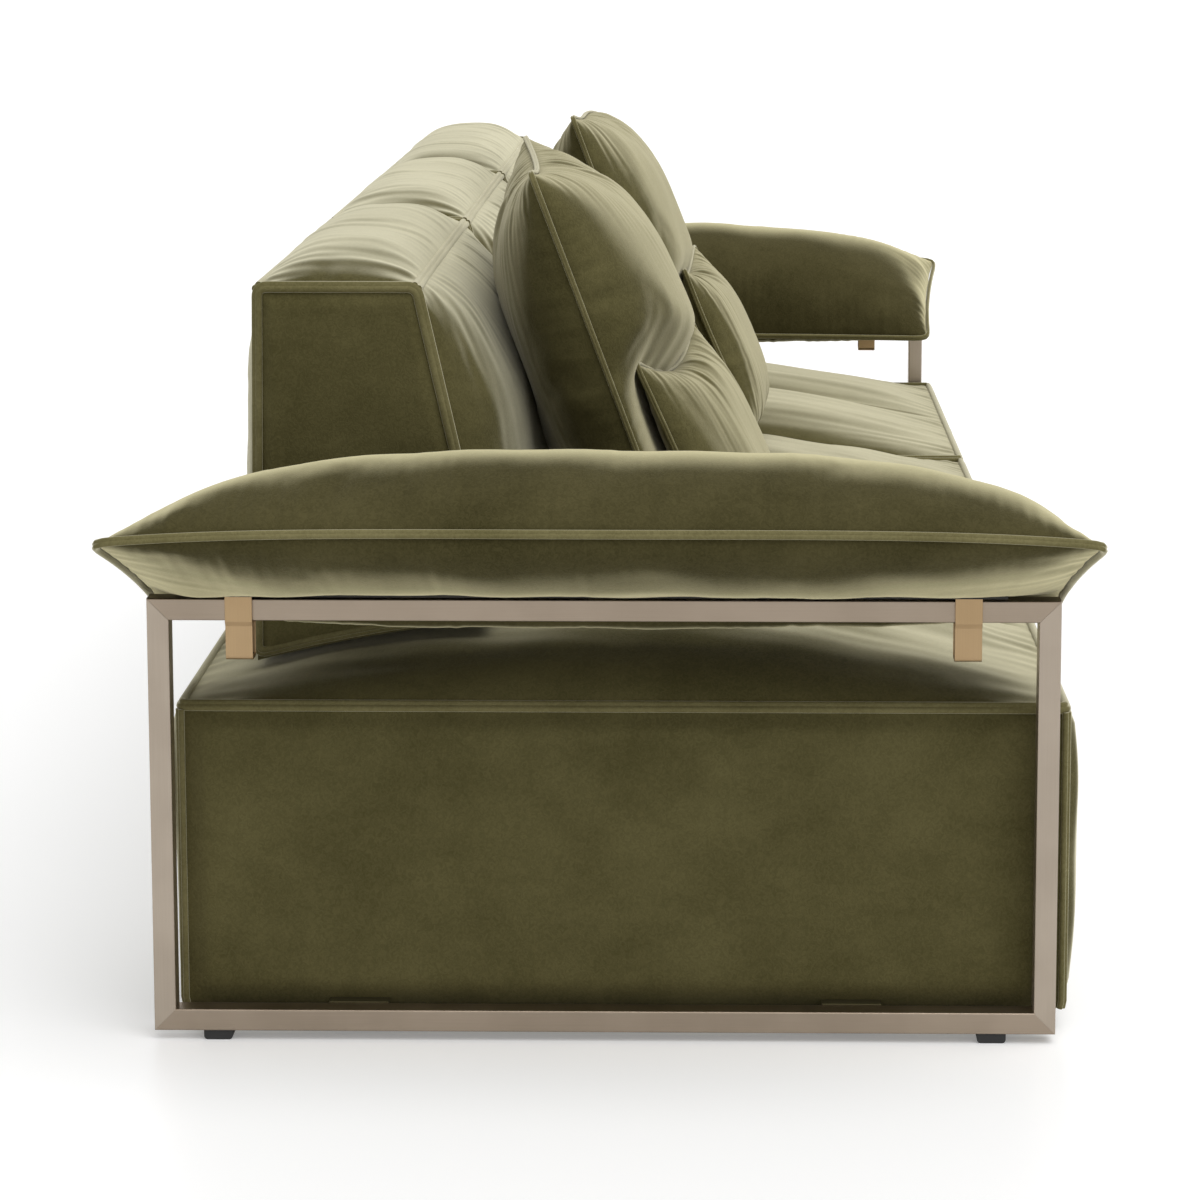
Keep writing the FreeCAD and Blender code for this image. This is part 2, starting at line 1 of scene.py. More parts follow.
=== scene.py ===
# %% [markdown]
# A three-seater sofa in a napped olive cover, dressed around its packed construction. The construction
# already holds every place and size, so this lesson begins by loading it. Nothing that is sewn around it
# later may grow out of its box.

import bmesh
import bpy
import numpy as np
from mathutils import Matrix, Vector
from mathutils.bvhtree import BVHTree


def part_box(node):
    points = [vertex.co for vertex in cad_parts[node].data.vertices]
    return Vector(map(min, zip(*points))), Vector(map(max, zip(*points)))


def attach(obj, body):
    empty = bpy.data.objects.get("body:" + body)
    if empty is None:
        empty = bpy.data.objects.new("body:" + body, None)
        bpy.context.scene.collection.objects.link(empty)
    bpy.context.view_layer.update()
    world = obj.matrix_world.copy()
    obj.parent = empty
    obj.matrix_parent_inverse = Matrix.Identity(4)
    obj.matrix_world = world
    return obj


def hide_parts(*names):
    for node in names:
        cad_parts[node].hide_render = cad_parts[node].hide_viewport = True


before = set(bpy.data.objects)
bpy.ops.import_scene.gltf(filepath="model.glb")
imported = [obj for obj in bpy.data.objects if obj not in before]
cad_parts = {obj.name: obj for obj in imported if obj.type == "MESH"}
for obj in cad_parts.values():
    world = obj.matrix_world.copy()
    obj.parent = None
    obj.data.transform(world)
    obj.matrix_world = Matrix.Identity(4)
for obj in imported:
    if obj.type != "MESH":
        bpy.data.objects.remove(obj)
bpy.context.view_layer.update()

scene = bpy.context.scene

# %% [markdown]
# The photograph looks at one end of the sofa, from a little above the arms, with a long lens that keeps
# the far end nearly as large as the near one. A camera that tips down far would make the posts lean
# together, so it tips down only a little and its shift does the rest.

# %% Camera
camera_data = bpy.data.cameras.new("camera")
camera_data.lens = 105.4
camera_data.sensor_width = 36.0
camera_data.shift_x = -0.05
camera_data.shift_y = -0.19
camera = bpy.data.objects.new("camera", camera_data)
camera.location = (-4.616, -0.110, 1.152)
look_turn, look_drop = np.radians(0.90), np.radians(-7.83)
level_look = np.cos(look_drop)
look = Vector((level_look * np.cos(look_turn), level_look * np.sin(look_turn), np.sin(look_drop)))
camera.rotation_euler = look.to_track_quat("-Z", "Y").to_euler()
scene.collection.objects.link(camera)
scene.camera = camera
print("camera", tuple(camera.location), "lens", camera_data.lens)

# %% [markdown]
# A finish is a graph of nodes, and most of its nodes do arithmetic on how dark, rough or raised a spot
# is. Writing that graph node by node hides the idea, so one small class wraps a socket: Python's
# operators on it add the Math nodes, and one method adds any other node.


# %% Shader maths as Python expressions
class Shade:
    """A socket of a material, with arithmetic that adds Math nodes."""

    def __init__(self, tree, socket=None):
        self.tree = tree
        self.socket = socket

    def node(self, kind, settings=None, inputs=None, output=0):
        """Add a node: its type, its settings, and the values or links of its sockets."""
        made = self.tree.nodes.new(kind)
        for name, value in (settings or {}).items():
            setattr(made, name, value)
        for name, value in (inputs or {}).items():
            if isinstance(value, Shade):
                self.tree.links.new(value.socket, made.inputs[name])
            else:
                made.inputs[name].default_value = value
        return Shade(self.tree, made.outputs[output] if made.outputs else None)

    def math(self, operation, first, second):
        return self.node("ShaderNodeMath", {"operation": operation}, {0: first, 1: second})

    def __add__(self, other):
        return self.math("ADD", self, other)

    __radd__ = __add__

    def __sub__(self, other):
        return self.math("SUBTRACT", self, other)

    def __rsub__(self, other):
        return self.math("SUBTRACT", other, self)

    def __mul__(self, other):
        return self.math("MULTIPLY", self, other)

    __rmul__ = __mul__


def new_finish(name):
    """A new material, its main shader, and a Shade on the place of each point in metres."""
    material = bpy.data.materials.new(name)
    material.use_nodes = True
    tree = material.node_tree
    shader = tree.nodes["Principled BSDF"]
    place = Shade(tree).node("ShaderNodeTexCoord", output="Object")
    return material, shader, place


def set_constants(shader, **values):
    """Set sockets of the shader that are the same all over the surface."""
    for name, value in values.items():
        shader.inputs[name.replace("_", " ")].default_value = value


def feed(shader, name, value):
    """Link a varying value to one socket of the shader."""
    value.tree.links.new(value.socket, shader.inputs[name])


def noise(place, scale, detail=3.0, rough=0.5, stretch=(1, 1, 1), twist=0.0):
    """A cloudy grey pattern with so many lumps to the metre, curled where it is twisted."""
    spread = place.node("ShaderNodeMapping", {}, {"Vector": place, "Scale": stretch})
    inputs = {"Vector": spread, "Scale": scale, "Detail": detail, "Roughness": rough, "Distortion": twist}
    return place.node("ShaderNodeTexNoise", {}, inputs)


def contrast(value, low, high):
    """Stretch the greys between two levels to the whole range."""
    inputs = {"Value": value, "From Min": low, "From Max": high}
    return value.node("ShaderNodeMapRange", {"interpolation_type": "SMOOTHSTEP"}, inputs)


def mix_colours(factor, first, second):
    """Colours go through a Mix node, because a Math node would turn them grey."""
    sockets = {0: factor, 6: first, 7: second}
    return factor.node("ShaderNodeMix", {"data_type": "RGBA"}, sockets, output=2)


def bump(shader, height, distance, strength=1.0, edge=None):
    """Raise and lower the surface by a grey pattern, over edges that look rounded by a small radius."""
    inputs = {"Height": height, "Distance": distance, "Strength": strength}
    if edge is not None:
        inputs["Normal"] = height.node("ShaderNodeBevel", {"samples": 4}, {"Radius": edge})
    feed(shader, "Normal", height.node("ShaderNodeBump", {}, inputs))


print("shader maths ready")

# %% [markdown]
# The cover is a velvet-like nubuck. Its short nap lies one way here and another way there, so the olive
# green is blotched. Slow noise gives the blotches, and curled and very fine noise give the fibres. A sheen
# is painted into the colour where the cover is seen at a slant: Layer Weight finds those places, and the
# colour turns lighter there. A picture of cloth would have to be unwrapped onto every panel, and noise in
# metres needs no unwrapping. Arms, backs, cushions and welts catch the light differently, so each has its
# own tones: painted shade on the arms, a painted highlight on the welts, and a stronger painted sheen on
# the backs and a weaker one on the cushions.

# %% Cover finish
# The dark and the light tone of a nap. The arms' tones are darker as painted shade,
# and the welts' tones lighter as a painted highlight.
cover_nap = (0.062, 0.054, 0.018, 1), (0.142, 0.125, 0.051, 1)
arm_shaded_nap = (0.036, 0.031, 0.009, 1), (0.094, 0.081, 0.032, 1)
welt_highlit_nap = (0.110, 0.097, 0.037, 1), (0.225, 0.200, 0.094, 1)


def napped_cover(name, dark, light, painted_sheen):
    """Olive nubuck: blotched nap, fine fibres, and a sheen painted into its colour where it is seen at a
    slant.
    """
    material, shader, place = new_finish(name)
    blotches = contrast(noise(place, 6.0, detail=4.0, rough=0.55), 0.30, 0.72)
    strokes = contrast(noise(place, 30.0, stretch=(1.0, 0.5, 1.0)), 0.30, 0.72)
    curls = contrast(noise(place, 190.0, rough=0.6, twist=1.8), 0.32, 0.68)
    fibres = noise(place, 1300.0, detail=2.0, rough=0.6)
    nap = 0.40 * blotches + 0.16 * strokes + 0.32 * curls + 0.12 * fibres
    # Painted sheen: the base colour turns lighter where the surface is seen at a slant
    facing = place.node("ShaderNodeLayerWeight", {}, {"Blend": 0.5}, "Facing")
    painted_sheen_share = contrast(facing, 0.44, 0.95) * (0.80 + 0.25 * nap)
    feed(shader, "Base Color", mix_colours(painted_sheen_share, mix_colours(nap, dark, light), painted_sheen))
    feed(shader, "Roughness", 0.95 - 0.12 * nap)
    bump(shader, 0.5 * fibres + 0.5 * curls, distance=0.0007, strength=0.4)
    set_constants(shader, Sheen_Weight=0.35, Sheen_Roughness=0.35, Sheen_Tint=(1.0, 0.96, 0.80, 1))
    set_constants(shader, Specular_IOR_Level=0.1)
    return material


# Each part's sheen colour: stronger on the backs as painted light, weaker on the cushions as painted shade
cover_finish = napped_cover("olive_nubuck", *cover_nap, painted_sheen=(0.680, 0.636, 0.435, 1))
arm_finish = napped_cover("olive_nubuck_arm_shaded", *arm_shaded_nap, painted_sheen=(0.720, 0.660, 0.385, 1))
back_finish = napped_cover("olive_nubuck_back", *cover_nap, painted_sheen=(0.760, 0.720, 0.515, 1))
cushion_finish = napped_cover("olive_nubuck_cushion", *cover_nap, painted_sheen=(0.520, 0.476, 0.290, 1))
welt_finish = napped_cover("olive_nubuck_welt", *welt_highlit_nap, painted_sheen=(0.680, 0.640, 0.460, 1))
print("cover finishes", cover_finish.name, arm_finish.name, back_finish.name, welt_finish.name)

# %% [markdown]
# The end frames are square tube in a brushed champagne colour, and the strap clips are a warmer satin
# bronze. Brushing is a set of fine lines along the tube, so noise is stretched that way: along Y on the
# bars and along Z on the posts. The lines change the roughness and raise the surface by almost nothing.
# A Bevel node softens the edges in the shading, which costs no faces.


# %% Metal finishes
def brushed_metal(name, colour, worn, rough, stretch):
    """A metal with fine brushing lines and a slight change of tone."""
    material, shader, place = new_finish(name)
    lines = noise(place, 1.0, detail=4.0, rough=0.7, stretch=stretch)
    cloud = contrast(noise(place, 14.0, detail=2.0), 0.3, 0.7)
    feed(shader, "Base Color", mix_colours(0.6 * lines + 0.3 * cloud, colour, worn))
    feed(shader, "Roughness", rough + 0.14 * lines + 0.06 * cloud)
    bump(shader, lines, distance=0.00006, strength=0.5, edge=0.0012)
    set_constants(shader, Metallic=1.0)
    return material


# The plain and the worn tone of each metal
# One champagne metal: the bars' darker tones are painted shade, the posts' lighter tones painted light
bar_shaded_tones = (0.300, 0.242, 0.184, 1), (0.430, 0.352, 0.276, 1)
post_lit_tones = (0.370, 0.310, 0.248, 1), (0.520, 0.446, 0.364, 1)
# The plates are as dark as the shade under the seats: painted shade
plate_shade_tones = (0.080, 0.070, 0.036, 1), (0.120, 0.105, 0.056, 1)
clip_tones = (0.370, 0.252, 0.134, 1), (0.530, 0.376, 0.214, 1)
steel_tones = (0.420, 0.420, 0.410, 1), (0.560, 0.560, 0.550, 1)
# How many of its lines go to a metre, across the brushing and along it
fine, coarse = 1500.0, 9.0
bar_metal = brushed_metal("champagne_bar_shaded", *bar_shaded_tones, rough=0.26, stretch=(fine, coarse, fine))
post_metal = brushed_metal("champagne_post_lit", *post_lit_tones, rough=0.26, stretch=(fine, fine, coarse))
plate_shade_coat = brushed_metal("plate_painted_shade", *plate_shade_tones, rough=0.5, stretch=(fine, fine, fine))
clip_metal = brushed_metal("bronze_clip", *clip_tones, rough=0.30, stretch=(fine, fine, coarse))
fixing_steel = brushed_metal("zinc_fixing", *steel_tones, rough=0.35, stretch=(300.0, 300.0, 300.0))
print("metal finishes", bar_metal.name, post_metal.name, clip_metal.name, fixing_steel.name)

# %% [markdown]
# Under the cover there are plain workshop materials: timber, black webbing and dust cloth, and feet of
# black plastic. They hardly show, but someone who turns the sofa over should still see wood grain and
# woven cloth. Stretched noise makes the grain, and two waves that cross make the weave.


# %% Plain finishes
def sawn_timber(name, dark, light):
    """Timber with its grain along X."""
    material, shader, place = new_finish(name)
    rings = noise(place, 1.0, detail=5.0, rough=0.6, stretch=(7.0, 60.0, 160.0))
    grain = noise(place, 1.0, rough=0.6, stretch=(30.0, 400.0, 600.0))
    tone = contrast(0.7 * rings + 0.3 * grain, 0.35, 0.65)
    feed(shader, "Base Color", mix_colours(tone, dark, light))
    feed(shader, "Roughness", 0.6 + 0.2 * grain)
    bump(shader, grain, 0.0003)
    return material


def woven_cloth(name, dark, light, threads):
    """A plain weave: two sets of waves that cross."""
    material, shader, place = new_finish(name)
    inputs = {"Vector": place, "Scale": threads}
    ways = [{"wave_type": "BANDS", "bands_direction": way} for way in "XY"]
    warp, weft = [place.node("ShaderNodeTexWave", way, inputs, output=1) for way in ways]
    weave = warp * weft
    feed(shader, "Base Color", mix_colours(weave, dark, light))
    feed(shader, "Roughness", 0.95 - 0.1 * weave)
    bump(shader, weave, 0.0003)
    return material


def moulded_plastic(name, dark, light):
    """Matte plastic with a fine spark texture."""
    material, shader, place = new_finish(name)
    spark = noise(place, 900.0, detail=2.0)
    feed(shader, "Base Color", mix_colours(spark, dark, light))
    feed(shader, "Roughness", 0.45 + 0.2 * spark)
    bump(shader, spark, 0.0001)
    return material


timber = sawn_timber("sawn_timber", (0.36, 0.23, 0.12, 1), (0.58, 0.42, 0.25, 1))
# The arm boards are nearly black: painted shade in the gap between each pad and its bar
timber_in_painted_shade = sawn_timber("timber_in_painted_shade", (0.012, 0.010, 0.008, 1), (0.030, 0.026, 0.020, 1))
webbing = woven_cloth("black_webbing", (0.02, 0.02, 0.02, 1), (0.09, 0.085, 0.08, 1), 130.0)
dust_cloth = woven_cloth("dust_cloth", (0.01, 0.01, 0.01, 1), (0.05, 0.05, 0.05, 1), 260.0)
foot_plastic = moulded_plastic("black_foot", (0.008, 0.008, 0.008, 1), (0.03, 0.03, 0.03, 1))
print("plain finishes", timber.name, webbing.name, dust_cloth.name, foot_plastic.name)

# %% [markdown]
# The rigid parts of the construction have their final shape already, so they only put on their finishes.
# A table from the ends of their names to a finish saves doing that one by one.

# %% Finishes of the rigid parts
finish_of = {
    "_bar": bar_metal,
    "_post": post_metal,
    "_clip": clip_metal,
    "_glides": foot_plastic,
    "seat_feet": foot_plastic,
    "_plates": plate_shade_coat,
    "_bolts": fixing_steel,
    "_screws": fixing_steel,
    "_pegs": fixing_steel,
    "_carcass": timber,
    "_core": timber,
    "_board": timber_in_painted_shade,
    "_webbing": webbing,
    "_dust_cloth": dust_cloth,
    "_cover": cover_finish,
    "_foam": cover_finish,
    "_pad": cover_finish,
    "_cushion": cover_finish,
}


def put_on(piece, finish):
    """Make a finish the only one of a piece."""
    if piece.material_slots:
        for holder in piece.material_slots:
            holder.material = finish
    else:
        piece.data.materials.append(finish)


for name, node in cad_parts.items():
    ending = next(ending for ending in finish_of if name.endswith(ending))
    put_on(node, finish_of[ending])
print("finished", len(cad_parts), "parts of the construction")

# %% [markdown]
# The seats and backs are boxes sewn from panels, so they are made here as panels: a grid of points for
# each one, with the folds worked out by a formula, and the grids stitched where they meet. A sculpted
# block would need less thought, but a formula lets the folds start at a seam and die away from it, as
# gathered cloth does.


# %% Panels, folds and stitching
def ease(distance, reach):
    """0 on a seam, and 1 once the cloth is a reach away from it."""
    step = np.clip(distance / reach, 0, 1)
    return step * step * (3 - 2 * step)


def folds(across, along, short, long, spread, count, seed):
    """Soft folds that run along one way, as a sum of waves across it, about 1 high."""
    chance = np.random.default_rng(seed)
    total = np.zeros_like(across)
    for _ in range(count):
        length = chance.uniform(short, long)
        turn = chance.normal(0, spread)
        phase = chance.uniform(0, 2 * np.pi)
        total += np.cos(2 * np.pi / length * (across * np.cos(turn) + along * np.sin(turn)) + phase)
    return total / np.sqrt(count / 2)


def gathers(across, away, height, reach, seed, fine=1.0):
    """Folds that start at a seam and run straight away from it, some further than others."""
    uneven = np.clip(1 + 0.45 * folds(across, away, 0.07, 0.3, 0.2, 6, seed), 0.25, 2.0)
    pleats = folds(across, away, 0.020 * fine, 0.058 * fine, 0.10, 14, seed + 1)
    return height * pleats * np.exp(-np.abs(away) / (reach * uneven)) * ease(away, 0.012)


def slack(across, along, height, seed):
    """Broad shallow unevenness of filling under a cover."""
    return height * folds(across, along, 0.10, 0.36, 1.4, 8, seed)


def stops(count, crowd):
    """Places from -1 to 1 that stand closer together towards both ends."""
    step = np.linspace(0, 1, count)
    return 2 * (step - crowd * np.sin(2 * np.pi * step) / (2 * np.pi)) - 1


def fullness(place):
    """How full a block is, from 1 in its middle to 0 at its end seams."""
    return (1 - np.abs(place) ** 5) ** 0.7


class Panels:
    """The panels of one sewn piece, and the mesh that they are stitched into."""

    def __init__(self):
        self.points = []
        self.faces = []
        self.count = 0

    def add(self, x, y, z):
        rows, columns = x.shape
        index = self.count + np.arange(rows * columns).reshape(rows, columns)
        ring = [index[:-1, :-1], index[1:, :-1], index[1:, 1:], index[:-1, 1:]]
        self.points.append(np.stack([x, y, z], -1).reshape(-1, 3))
        self.faces.append(np.stack(ring, -1).reshape(-1, 4))
        self.count += rows * columns

    def stitch(self, name):
        mesh = bpy.data.meshes.new(name)
        mesh.from_pydata(np.concatenate(self.points).tolist(), [], np.concatenate(self.faces).tolist())
        work = bmesh.new()
        work.from_mesh(mesh)
        bmesh.ops.remove_doubles(work, verts=work.verts, dist=5e-5)
        bmesh.ops.recalc_face_normals(work, faces=work.faces)
        work.to_mesh(mesh)
        work.free()
        mesh.shade_smooth()
        mesh.set_sharp_from_angle(angle=np.radians(50))
        return show(name, mesh)


def show(name, mesh):
    """Put a mesh in the scene as a piece."""
    piece = bpy.data.objects.new(name, mesh)
    scene.collection.objects.link(piece)
    return piece


print("panel tools ready")

# %% [markdown]
# All seams carry a welt: a flattened strip of the cover with two cords in it, about a centimetre wide. A
# curve with a round bevel would make a plain rope, so the welt is swept as a mesh from its own section,
# an oval with a groove down its face that looks outward from the seam.

# %% Welts
welt_half = 0.0062
welt_thick = 0.0044
welt_points = 16
welt_groove, groove_half = 0.40, 0.0017
welt_corner = 0.010
# How much more a welt faces out to the side than up or forward
welt_lean = 1.6


def welt_section(scale):
    """The oval of the welt with a groove down its outer face, as across and outward values."""
    angle = np.linspace(0, 2 * np.pi, welt_points, endpoint=False)
    across = welt_half * np.cos(angle)
    groove = 1 - welt_groove * np.exp(-((across / groove_half) ** 2))
    outward = welt_thick * np.sin(angle) * np.where(np.sin(angle) > 0, groove, 1.0)
    return across * scale, outward * scale


def unit(vectors):
    """Vectors of the same direction, 1 long."""
    return vectors / np.maximum(np.linalg.norm(vectors, axis=-1, keepdims=True), 1e-9)


def tangents(path, closed):
    """The direction of a path at each of its points."""
    if closed:
        return unit(np.roll(path, -1, 0) - np.roll(path, 1, 0))
    return unit(np.gradient(path, axis=0))


def add_welt(panels, path, outward, closed=False, scale=1.0):
    """Sweep the welt's section along a path and add it to a set of panels."""
    across_values, outward_values = welt_section(scale)
    along = tangents(path, closed)
    outward = unit(outward - along * np.sum(outward * along, -1, keepdims=True))
    across = np.cross(along, outward)
    rings = path[:, None] + across[:, None] * across_values[:, None]
    rings = rings + outward[:, None] * outward_values[:, None]
    if closed:
        rings = np.concatenate([rings, rings[:1]])
    else:
        first = np.repeat(path[:1, None, :], welt_points, 1)
        last = np.repeat(path[-1:, None, :], welt_points, 1)
        rings = np.concatenate([first, rings, last])
    rings = np.concatenate([rings, rings[:, :1]], 1)
    panels.add(*np.moveaxis(rings, -1, 0))


def rounded(corners, step=0.008):
    """A closed path through corners that are rounded as a welt goes round them."""
    corners = np.array(corners, float)
    path = []
    for before, here, after in zip(np.roll(corners, 1, 0), corners, np.roll(corners, -1, 0)):
        start, end = here + unit(before - here) * welt_corner, here + unit(after - here) * welt_corner
        for share in np.linspace(0, 1, 7):
            path.append((1 - share) ** 2 * start + 2 * share * (1 - share) * here + share**2 * end)
    dense = []
    for start, end in zip(path, path[1:] + path[:1]):
        pieces = max(1, int(np.linalg.norm(end - start) / step))
        dense += [start + (end - start) * share for share in np.arange(pieces) / pieces]
    return np.array(dense)


print("welt", round(2000 * welt_half, 1), "mm wide")

# %% [markdown]
# A seat is a deep box with a crowned pillow top, sewn to the box along the welt, with one sewn channel
# down it from front to rear. The top is gathered into the welt, so fine folds run away from its seams.
# The panels draw in at each seam and swell between them. Blown-up cloth would round off the flat sides of
# the real box.

# %% Seats
up = np.array([0.0, 0.0, 1.0])
seat_front, seat_rear = -0.473, 0.437
seat_middle = (seat_front + seat_rear) / 2
seat_low, seat_seam = 0.021, 0.336
seat_crown = 0.072
channel_depth, channel_reach = 0.020, 0.048
crease_depth, crease_reach = 0.0035, 0.005
ripple_height = 0.00025
seam_tuck = 0.008
bottom_round = 0.007
# How narrow the welt is down a corner, and how far it stops short of the foot and the top
corner_welt, corner_stop = 0.85, (0.003, 0.004)
body = "sofa"


def rounding(height):
    """How far the foot of a panel turns in at a height above its lower edge."""
    short = bottom_round - np.minimum(height, bottom_round)
    return bottom_round - np.sqrt(bottom_round**2 - short**2)


def seat_panels(centre, half, bulges, seed):
    """The panels of a seat whose left, right, front and rear sides swell by so much."""
    panels = Panels()
    across, deep, tall = stops(190, 0.4), stops(110, 0.45), (stops(44, 0.5) + 1) / 2
    edge = half - seam_tuck
    depth = (seat_rear - seat_front) / 2 - seam_tuck
    height = seat_seam - seat_low

    s, v = np.meshgrid(across, deep, indexing="ij")
    x, y = s * edge, v * depth
    side, end = edge * (1 - np.abs(s)), depth * (1 - np.abs(v))
    crown = seat_crown * fullness(s) - channel_depth * np.exp(-((x / channel_reach) ** 2))
    z = seat_seam + crown * (1 - v**2)
    z = z + ease(side, 0.015) * gathers(x, end, height=0.0007, reach=0.06, seed=seed)
    z = z + ease(end, 0.015) * gathers(y, side, height=0.0006, reach=0.03, seed=seed + 3)
    z = z + slack(x, y, height=0.0014, seed=seed + 6) * ease(end, 0.10) * ease(side, 0.10)
    ripples = folds(x, y, short=0.03, long=0.09, spread=0.07, count=10, seed=seed + 7)
    z = z + ripples * ripple_height * ease(end, 0.05) * ease(side, 0.05)
    crease = crease_depth * np.exp(-((x / crease_reach) ** 2)) * ease(end, 0.05)
    panels.add(centre + x, seat_middle + y, z - crease)

    for facing, bulge in ((-1, bulges[2]), (1, bulges[3])):
        s, w = np.meshgrid(across, tall, indexing="ij")
        turn = rounding(w * height)
        side, top, foot = edge * (1 - np.abs(s)), height * (1 - w), height * w
        calm = ease(side, 0.02) * ease(top, 0.02) * ease(foot, 0.03)
        swell = seam_tuck * calm + bulge * fullness(s) * 4 * w * (1 - w)
        loose = gathers(s * edge, top, height=0.0009, reach=0.05, seed=seed + 9 + facing)
        loose = loose + slack(s * edge, top, height=0.0011, seed=seed + 12 + facing)
        reach = depth - turn + swell + calm * loose
        panels.add(centre + s * (edge - turn), seat_middle + facing * reach, seat_low + w * height)

    for facing, bulge in ((-1, bulges[0]), (1, bulges[1])):
        v, w = np.meshgrid(deep, tall, indexing="ij")
        turn = rounding(w * height)
        end, top, foot = depth * (1 - np.abs(v)), height * (1 - w), height * w
        calm = ease(end, 0.03) * ease(top, 0.025) * ease(foot, 0.035)
        drawn = gathers(v * depth, foot, height=0.0010, reach=0.04, seed=seed + 15 + facing) * ease(end, 0.10)
        drawn = drawn + gathers(v * depth, top, height=0.0007, reach=0.03, seed=seed + 18 + facing)
        loose = slack(v * depth, w * height, height=0.0010, seed=seed + 21 + facing) + drawn
        # A side that stands against the next seat has less room for folds
        room = 1.0 if bulge > 0 else 0.3
        reach = edge - turn + (seam_tuck + bulge) * calm + calm * loose * room
        panels.add(centre + facing * reach, seat_middle + v * (depth - turn), seat_low + w * height)

    s, v = np.meshgrid(across, deep, indexing="ij")
    flat = np.full_like(s, seat_low)
    panels.add(centre + s * (edge - bottom_round), seat_middle + v * (depth - bottom_round), flat)
    return panels


def seat_welts(centre, half):
    """The welt round a seat's top and down its four corners."""
    welts = Panels()
    edge = half - seam_tuck
    front, rear = seat_front + seam_tuck, seat_rear - seam_tuck
    corners = [(-edge, front), (edge, front), (edge, rear), (-edge, rear)]
    loop = rounded([(centre + x, y, seat_seam) for x, y in corners])
    along = tangents(loop, True)
    add_welt(welts, loop, np.cross(along, up) * welt_lean + up, True)
    for x, y in corners:
        heights = np.linspace(seat_seam - corner_stop[1], seat_low + corner_stop[0], 40)
        turn = rounding(heights - seat_low)
        sign_x, sign_y = np.sign(x), np.sign(y)
        path = np.stack([centre + x - sign_x * turn, y - sign_y * turn, heights], -1)
        outward = np.tile([sign_x, sign_y, 0.0], (len(path), 1))
        add_welt(welts, path, outward, scale=corner_welt)
    return welts


def dress(piece, finish, body_name, nodes=()):
    """Finish a sewn piece, let it ride on its body, and hide the solids it stands for."""
    put_on(piece, finish)
    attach(piece, body_name)
    if nodes:
        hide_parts(*nodes)


def span_of(node):
    """The middle and half the width of a solid, along the sofa."""
    low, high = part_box(node)
    return (low[0] + high[0]) / 2, (high[0] - low[0]) / 2


seat_side_bulges = {"left": (0.004, 0.0), "middle": (0.0, 0.0), "right": (0.0, 0.004)}
seat_end_bulges = (0.013, 0.006)
seats = {}
for number, (name, sides) in enumerate(seat_side_bulges.items()):
    centre, half = span_of(name + "_seat_cover")
    panels = seat_panels(centre, half, (*sides, *seat_end_bulges), seed=100 + 40 * number)
    seats[name] = panels.stitch(name + "_seat")
    dress(seats[name], cover_finish, body, (name + "_seat_cover", name + "_seat_foam"))
    dress(seat_welts(centre, half).stitch(name + "_seat_welt"), welt_finish, body)
    print(name, "seat", len(seats[name].data.vertices), "points, middle at", round(centre, 4))

# %% [markdown]
# A back is a block with flat ends and a leaning front that swells forward, made with the same tools. Its
# cover is tighter than the seat's, and the gathers at its long top seams are what the eye sees first.
# Each end panel has a welt all the way round it, and two more run along the top seams.

# %% Backs
back_front, back_rear = 0.118, 0.362
back_top_front, back_top_rear = 0.194, 0.357
back_edge = 0.750
back_crown, back_front_bulge, back_rear_bulge = 0.036, 0.068, 0.026
back_seat_gap = 0.003
# About how deep and how high an end panel is
end_depth, end_height = 0.20, 0.35
seat_arc = ((seat_rear - seat_front) ** 2 / 4 + seat_crown**2) / (2 * seat_crown)


def back_foot(y):
    """Height of a back's underside at a depth, just above a seat's fullest section."""
    crest = seat_seam + seat_crown - seat_arc + np.sqrt(seat_arc**2 - (y - seat_middle) ** 2)
    return crest + back_seat_gap


front_low = np.array([back_front, back_foot(back_front)])
rear_low = np.array([back_rear, back_foot(back_rear)])
front_top = np.array([back_top_front, back_edge])
rear_top = np.array([back_top_rear, back_edge])


def outward_of(start, end):
    """The direction out of a panel that runs from one point to another, front to rear over the top."""
    step = unit(end - start)
    return np.array([-step[1], step[0]])


